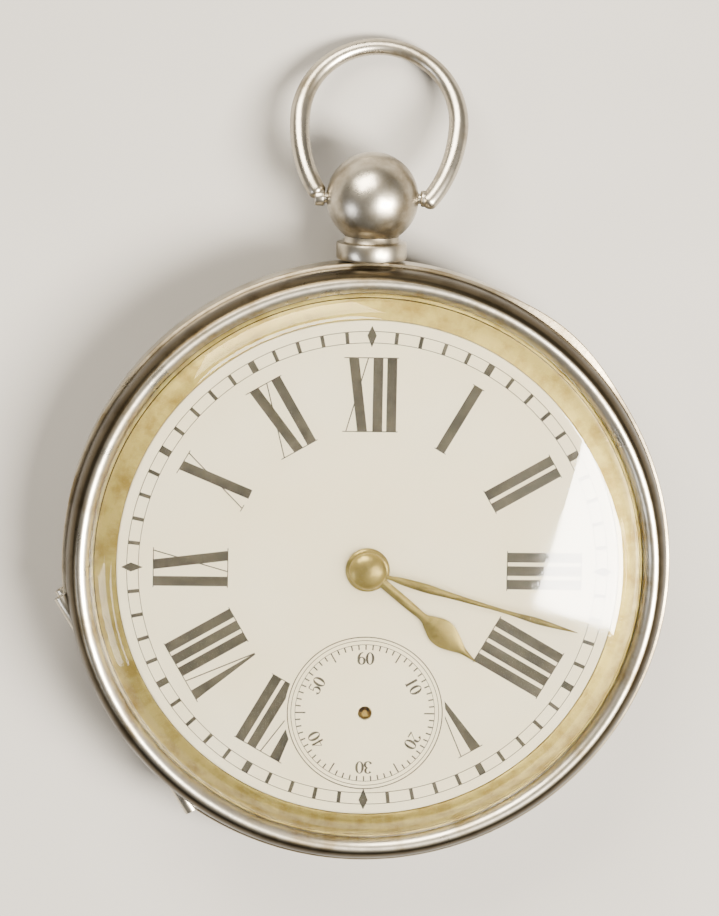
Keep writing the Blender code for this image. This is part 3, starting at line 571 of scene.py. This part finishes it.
def swept(path, radius, steps=32):
    """A round bar along a path in one plane, in mm: at each point the circle c + r (n cos b + k sin b),
    with n square to the path in its plane and k square to the plane. Gives points and faces."""
    path, radius = np.array(path, float), np.array(radius, float)
    along = np.gradient(path, axis=0)
    along /= np.linalg.norm(along, axis=1)[:, None]
    flat = np.stack([-along[:, 1], along[:, 0]], 1)
    b = np.arange(steps) / steps * TAU
    ring = path[:, None] + flat[:, None] * (radius[:, None] * np.cos(b))[..., None]
    rise = (radius[:, None] * np.sin(b))[..., None]
    faces = grid_faces(len(path), steps, False).tolist()
    last = (len(path) - 1) * steps
    faces += [list(range(steps))[::-1], list(range(last, last + steps))]
    return np.concatenate([ring, rise], -1).reshape(-1, 3), faces


def laid_back(points):
    """Bow points (across, out from the ball's middle, up) turned to how the ring lies at rest."""
    c, s = math.cos(BOW_REST), math.sin(BOW_REST)
    x, y, z = points.T
    return np.stack([x, BALL_Y + y * c - z * s, PENDANT_Z + y * s + z * c], -1)


def bow_bar(name, path, radius):
    """A swept bar of the bow, laid back as it rests."""
    points, faces = swept(path, radius)
    return outward(mesh_object(name, laid_back(points) * MM, faces, worn_silver, 50))


angle = np.linspace(BOW_END, math.pi - BOW_END, 181)
height = np.sin(angle)
drawn = np.where(height < 0, BOW_DRAWN, 1.0)
wire = np.stack([BOW_R * np.cos(angle), BOW_HEART + BOW_R * height * drawn], 1)
c, s = math.cos(BOW_LEAN), math.sin(BOW_LEAN)
wire = wire @ np.array([[c, -s], [s, c]])
thick = BOW_WIRE * np.where(height > 0, 1 - 0.16 * height, 1 + 0.11 * height)
share = np.array([0.3, 0.55, 0.75, 0.9, 0.98, 1.0])[:, None]
caps, tapers = [], []
for end, beside in ((0, 1), (-1, -2)):
    ahead = (wire[end] - wire[beside]) / np.linalg.norm(wire[end] - wire[beside])
    caps.append(wire[end] + ahead * BOW_CAP * share)
    tapers.append(thick[end] * np.sqrt(1.02 - share[:, 0] ** 2))
wire = np.concatenate([caps[0][::-1], wire, caps[1]])
thick = np.concatenate([tapers[0][::-1], thick, tapers[1]])
bars = [bow_bar("bow", wire, thick)]
for side in (-1, 1):
    pin = [(2.6, 0.4), (2.65, 0.45), (4.2, 0.45), (4.3, 0.45)]
    shoulder = [(4.08, 0.6), (4.16, 0.69), (4.25, 0.7), (4.8, 0.7), (4.86, 0.66), (4.9, 0.6)]
    for ends in (pin, shoulder):
        bars.append(bow_bar(f"bow_end_{side}", [(side * x, 0) for x, _ in ends], [r for _, r in ends]))
bow = joined("bow_ring", bars)
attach(bow, "bow")
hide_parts("bow")

# ---- dial --------------------------------------------------------------------------------------
# A white enamelled copper disc, printed in black and fired. Hour numerals stand with their feet to
# the middle, a railway of minutes runs round the edge and a seconds ring lies over six o'clock.

DIAL_R, DIAL_LOW, DIAL_TOP = 21.3, 10.45, 10.95
SECONDS_Y, CENTRE_HOLE_R, SECONDS_HOLE_R = -12.45, 1.5, 0.6
INK, INK_SUNK = 0.012, 0.02
SECONDS_CLEAR = 6.85


def dial_enamel():
    """Vitreous enamel on copper, fired: warm white, glassy, with an orange-peel of about 0.8 mm."""
    made, tree, shader = new_material("vitreous_enamel")
    place = node(tree, "ShaderNodeTexCoord").outputs["Object"]
    colour = ramp(tree, noise(tree, place, 110.0, 4.0), [(0.3, "#FDF5DB"), (0.7, "#FFFAE6")])
    tree.links.new(colour, shader.inputs["Base Color"])
    shader.inputs["Roughness"].default_value = 0.22
    peel = bumped(tree, noise(tree, place, 1200.0, 2.0), 0.05, 0.05 * MM)
    tree.links.new(peel, shader.inputs["Normal"])
    return made


def fired_ink():
    """Black vitreous ink, transfer printed and fired, worn thin so that the enamel greys it."""
    made, tree, shader = new_material("fired_ink")
    place = node(tree, "ShaderNodeTexCoord").outputs["Object"]
    colour = ramp(tree, noise(tree, place, 700.0, 6.0, 0.7), [(0.35, "#26231D"), (0.72, "#4B463A")])
    tree.links.new(colour, shader.inputs["Base Color"])
    shader.inputs["Roughness"].default_value = 0.4
    return made


enamel, ink = dial_enamel(), fired_ink()
rim_edge = [(CENTRE_HOLE_R, DIAL_LOW), (CENTRE_HOLE_R, DIAL_TOP), (20.95, DIAL_TOP), (21.15, 10.92)]
rim_edge += [(21.26, 10.85), (DIAL_R, 10.72), (DIAL_R, DIAL_LOW)]
dial = turned("dial_plate", rim_edge, enamel, steps=240)
cutter = [(0, 10), (SECONDS_HOLE_R, 10), (SECONDS_HOLE_R, 12), (0, 12)]
cut(dial, [turned("seconds_hole", cutter, enamel, (0, SECONDS_Y), 48)])
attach(dial, "case")
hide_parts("dial")


def kept_clear(left, right):
    """Rows from left to right cut back to their longer part outside the seconds ring: the two crossings
    s solve |left + s (right - left) - middle| = SECONDS_CLEAR. Rows wholly inside are dropped."""
    span, start = right - left, left - np.array([0, SECONDS_Y])
    a, b = (span**2).sum(1), (span * start).sum(1)
    c = (start**2).sum(1) - SECONDS_CLEAR**2
    root = np.sqrt(np.maximum(b * b - a * c, 0))
    first, second = np.clip((-b - root) / a, 0, 1), np.clip((root - b) / a, 0, 1)
    crossed = b * b > a * c
    before = first > 1 - second
    low = np.where(crossed & ~before, second, 0)[:, None]
    high = np.where(crossed & before, first, 1)[:, None]
    keep = (high - low)[:, 0] > 0.02
    return (left + span * low)[keep], (left + span * high)[keep]


def printed(name, strokes, clear=False):
    """Ink strokes standing INK mm above the enamel. A stroke is (points, half widths, closed), and
    each of its points p gives the four corners p + w n and p - w n, above and just below the surface."""
    all_points, all_faces, used = [], [], 0
    for path, half, closed in strokes:
        path, half = np.array(path, float), np.broadcast_to(half, len(path)).astype(float)
        if closed:
            along = np.roll(path, -1, 0) - np.roll(path, 1, 0)
        else:
            along = np.gradient(path, axis=0)
        along /= np.linalg.norm(along, axis=1)[:, None]
        side = np.stack([-along[:, 1], along[:, 0]], 1) * half[:, None]
        left, right = path + side, path - side
        if clear:
            share = np.linspace(0, 1, 61)
            left, right = [
                np.stack([np.interp(share, np.linspace(0, 1, len(edge)), edge[:, i]) for i in (0, 1)], 1)
                for edge in (left, right)
            ]
            left, right = kept_clear(left, right)
        rows = len(left)
        if rows < 2:
            continue
        corners = [(left, DIAL_TOP + INK), (right, DIAL_TOP + INK)]
        corners += [(right, DIAL_TOP - INK_SUNK), (left, DIAL_TOP - INK_SUNK)]
        grid = np.stack([np.column_stack([xy, np.full(rows, z)]) for xy, z in corners], 1)
        faces = (grid_faces(rows, 4, closed) + used).tolist()
        if not closed:
            faces += [[used + i for i in (3, 2, 1, 0)], [used + 4 * rows - 4 + i for i in range(4)]]
        all_points.append(grid.reshape(-1, 3))
        all_faces += faces
        used += 4 * rows
    return outward(mesh_object(name, np.concatenate(all_points) * MM, all_faces, ink, 30))


def on_clock(points, degrees, middle=(0, 0)):
    """Points (clockwise, outwards) about the middle, turned to this many degrees past twelve."""
    x, y = np.array(points, float).T
    c, s = math.cos(math.radians(degrees)), math.sin(math.radians(degrees))
    return np.stack([middle[0] + x * c + y * s, middle[1] - x * s + y * c], 1)


FOOT, HEAD = 11.85, 18.15
BAR, HAIR, GAP = 0.42, 0.05, 0.33


def roman(letter, start):
    """The strokes of one letter from 'start' along the clockwise direction, and its width."""
    if letter == "I":
        bar = ([(start + BAR, FOOT), (start + BAR, HEAD)], BAR, False)
        return [bar], 2 * BAR
    if letter == "V":
        thick = ([(start + 0.55, HEAD), (start + 1.12, FOOT)], [0.46, 0.07], False)
        thin = ([(start + 1.95, HEAD), (start + 1.17, FOOT)], HAIR, False)
        return [thick, thin], 2.1
    thick = ([(start + 0.68, HEAD), (start + 1.48, FOOT)], BAR, False)
    thin = ([(start + 1.9, HEAD), (start + 0.1, FOOT)], HAIR, False)
    foot = ([(start - 0.2, FOOT), (start + 0.45, FOOT)], HAIR * 0.8, False)
    return [thick, thin, foot], 2.0


hours = ["XII", "I", "II", "III", "IIII", "V", None, "VII", "VIII", "IX", "X", "XI"]
strokes = []
for place, word in enumerate(hours):
    if not word:
        continue
    start, made = 0.0, []
    for letter in word:
        lines, wide = roman(letter, start)
        made += lines
        start += wide + GAP
    total = start - GAP
    serifs = [(HEAD, -0.14, total + 0.14), (FOOT, -0.14, total + 0.14)]
    if word[0] == "V":
        serifs = [(HEAD, -0.14, total + 0.1), (FOOT, 2.3, total + 0.14)]
    if word in ("V", "X"):
        serifs = serifs[:1]
    made += [([(low, r), (high, r)], HAIR * 0.8, False) for r, low, high in serifs]
    for path, half, closed in made:
        path = np.array(path, float) - [total / 2, 0]
        strokes.append((on_clock(path, 30 * place), half, closed))
numerals = printed("hour_numerals", strokes, clear=True)
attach(numerals, "case")


def ring(radius, half, middle=(0, 0), steps=240):
    """A closed stroke round the middle: x = r cos a, y = r sin a."""
    a = np.arange(steps) / steps * TAU
    return (np.stack([middle[0] + radius * np.cos(a), middle[1] + radius * np.sin(a)], 1), half, True)


TRACK_IN, TRACK_OUT = 19.42, 20.4
strokes = [ring(TRACK_IN, 0.03), ring(TRACK_OUT, 0.03)]
for minute in range(60):
    if minute % 15 == 0:
        kite = [(0, TRACK_IN - 0.35), (0, 20.05), (0, TRACK_OUT + 0.45)]
        strokes.append((on_clock(kite, 6 * minute), [0.02, 0.4, 0.02], False))
    else:
        half = 0.3 if minute % 5 == 0 else 0.16
        strokes.append((on_clock([(0, TRACK_IN), (0, TRACK_OUT)], 6 * minute), half, False))
track = printed("minute_track", strokes)
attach(track, "case")


def arc(middle, wide, tall, start, end, steps=14, thin=0.03, thick=0.1):
    """A pen stroke along an ellipse from start to end degrees: thick where the pen runs up and down."""
    a = np.radians(np.linspace(start, end, steps))
    path = np.stack([middle[0] + wide * np.cos(a), middle[1] + tall * np.sin(a)], 1)
    return (path, thin + (thick - thin) * np.abs(np.cos(a)) ** 1.5, False)


def figure(digit):
    """The pen strokes of one figure in a cell 0.66 wide and 1.0 tall, from its middle."""
    if digit == "0":
        return [arc((0, 0), 0.24, 0.46, 0, 360, 28)]
    if digit == "1":
        return [([(0, -0.48), (0, 0.48)], 0.095, False), ([(-0.16, -0.48), (0.16, -0.48)], 0.03, False)]
    if digit == "2":
        return [
            arc((0, 0.22), 0.22, 0.24, 170, -35),
            ([(0.17, 0.06), (-0.22, -0.44)], 0.025, False),
            ([(-0.24, -0.44), (0.25, -0.44)], 0.05, False),
        ]
    if digit == "3":
        return [arc((0, 0.24), 0.2, 0.22, 160, -90), arc((0, -0.22), 0.24, 0.25, 90, -165)]
    if digit == "4":
        return [
            ([(0.1, -0.48), (0.1, 0.48)], 0.075, False),
            ([(0.1, 0.46), (-0.26, -0.16)], 0.025, False),
            ([(-0.28, -0.18), (0.27, -0.18)], 0.03, False),
        ]
    if digit == "5":
        return [
            ([(-0.16, 0.44), (0.2, 0.44)], 0.045, False),
            ([(-0.18, 0.44), (-0.18, 0.02)], 0.025, False),
            arc((-0.02, -0.18), 0.24, 0.28, 130, -160),
        ]
    return [arc((0, -0.18), 0.23, 0.28, 0, 360, 28), arc((0.16, 0.02), 0.39, 0.46, 95, 190)]


SECONDS_AT = (0, SECONDS_Y)
strokes = [ring(6.6, 0.045, SECONDS_AT, 160), ring(6.3, 0.03, SECONDS_AT, 160)]
strokes.append(ring(5.95, 0.025, SECONDS_AT, 160))
for second in range(60):
    low, half = (5.05, 0.06) if second % 10 == 5 else (5.5, 0.06)
    strokes.append((on_clock([(0, low), (0, 5.95)], 6 * second, SECONDS_AT), half, False))
for turn_to, word in zip(range(0, 360, 60), ("60", "10", "20", "30", "40", "50")):
    for digit, x in zip(word, (-0.36, 0.36)):
        for path, half, closed in figure(digit):
            path = np.array(path, float) * 1.1 + [x, 4.75]
            strokes.append((on_clock(path, turn_to, SECONDS_AT), np.array(half) * 1.1, closed))
seconds = printed("seconds_track", strokes)
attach(seconds, "case")

# ---- dial edge ---------------------------------------------------------------------------------
# A turned and gilt brass ring holds the dial down and fills the gap to the bezel. It has gone
# brown in spots near the glass.

edge_gilt = gilt_brass("dial_edge_gilt", "#C9B970", "#9C8849", 0.5)
edge_outline = [(21.35, 9.75), (23.08, 9.75), (23.1, 9.98), (22.9, 10.1), (22.3, 10.35)]
edge_outline += [(21.45, 10.88), (21.35, 10.88)]
edge = turned("dial_edge_ring", edge_outline, edge_gilt, steps=240)
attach(edge, "case")
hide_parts("dial_rim")

# ---- hands -------------------------------------------------------------------------------------
# Pressed and gilt steel hands: a pear hour hand and a slim minute hand with two swellings. Each is
# riveted to a domed boss on its pipe.

hand_gilt = gilt_brass("hand_gilt", "#A3945C", "#7C6E43", 0.38)


def hand(name, clock, half_outline, low, thick, boss_r, bore_r, boss_top, body):
    """A flat hand: the outline (out, half width) smoothed along its length, with a rounded top whose
    height falls with the square of the distance from the middle line."""
    line = spline(half_outline, 12)
    across = np.linspace(-1, 1, 9)
    out, half = line[:, 0][:, None], np.maximum(line[:, 1], 0.02)[:, None]
    top = low + thick * (1 - 0.45 * across**2)
    upper = np.stack([half * across, out + 0 * across, top + 0 * out], -1)
    lower = np.stack([half * across[::-1], out + 0 * across, low + 0 * out + 0 * across], -1)
    grid = np.concatenate([upper, lower], 1)
    points = grid.reshape(-1, 3)
    points[:, :2] = on_clock(points[:, :2], clock)
    count = grid.shape[1]
    faces = grid_faces(len(line), count, False).tolist()
    last = (len(line) - 1) * count
    faces += [list(range(count))[::-1], list(range(last, last + count))]
    blade = outward(mesh_object(f"{name}_blade", points * MM, faces, hand_gilt, 50))
    arcs = np.radians(np.linspace(90, 0, 13))
    crown = [bore_r + (boss_r - bore_r) * np.cos(arcs), low + (boss_top - low) * np.sin(arcs)]
    crown = np.stack(crown, 1)
    crown[0, 0] = bore_r
    crown = np.concatenate([crown, [(bore_r, low)]])
    boss = turned(f"{name}_boss", crown, hand_gilt, steps=96)
    made = joined(f"{name}_pressed", [blade, boss])
    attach(made, body)
    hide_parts(name)


hour_line = [(1.5, 0.4), (4.5, 0.4), (6.2, 0.36), (7, 0.7), (7.9, 1.1), (8.8, 1.12), (9.7, 0.8)]
hour_line += [(10.8, 0.3), (12.2, 0.03)]
hand("hour_hand", 130, hour_line, 11.2, 0.2, 1.88, 1.42, 11.45, "hour")
minute_line = [(1.2, 0.2), (2.0, 0.18), (3.2, 0.32), (5.2, 0.38), (7, 0.28), (9.5, 0.2), (12.5, 0.16)]
minute_line += [(14.8, 0.27), (16.4, 0.2), (18.6, 0.03)]
hand("minute_hand", 106, minute_line, 11.7, 0.18, 1.6, 0, 12.45, "centre")

# ---- movement ----------------------------------------------------------------------------------
# A gilt brass full-plate key-wound lever movement held in the band by two screws. The CAD shapes
# are kept and take these finishes by slot.


def polished_steel():
    """Carbon steel, hardened and polished: grey-blue, with a fine brushed grain of about 0.1 mm."""
    made, tree, shader = new_material("polished_steel")
    place = node(tree, "ShaderNodeTexCoord").outputs["Object"]
    stretch = node(tree, "ShaderNodeMapping", {"Vector": place}, values={"Scale": (1.0, 8.0, 1.0)})
    grain = noise(tree, stretch.outputs["Vector"], 1300.0, 4.0)
    colour = ramp(tree, grain, [(0.3, "#8E9094"), (0.7, "#A9ACB0")])
    tree.links.new(colour, shader.inputs["Base Color"])
    shader.inputs["Metallic"].default_value = 1.0
    shader.inputs["Roughness"].default_value = 0.28
    tree.links.new(bumped(tree, grain, 0.08, 0.03 * MM), shader.inputs["Normal"])
    return made


finishes = {
    "gilt": gilt_brass("plate_gilt", "#DDBF77", "#BD9A55", 0.34),
    "brass": gilt_brass("wheel_brass", "#D6BC73", "#B0914E", 0.3),
    "steel": polished_steel(),
    "silver": silver,
    "enamel": enamel,
    "glass": glass.data.materials[0],
}
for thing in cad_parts.values():
    for index, old in enumerate(thing.data.materials):
        thing.data.materials[index] = finishes[old.name]
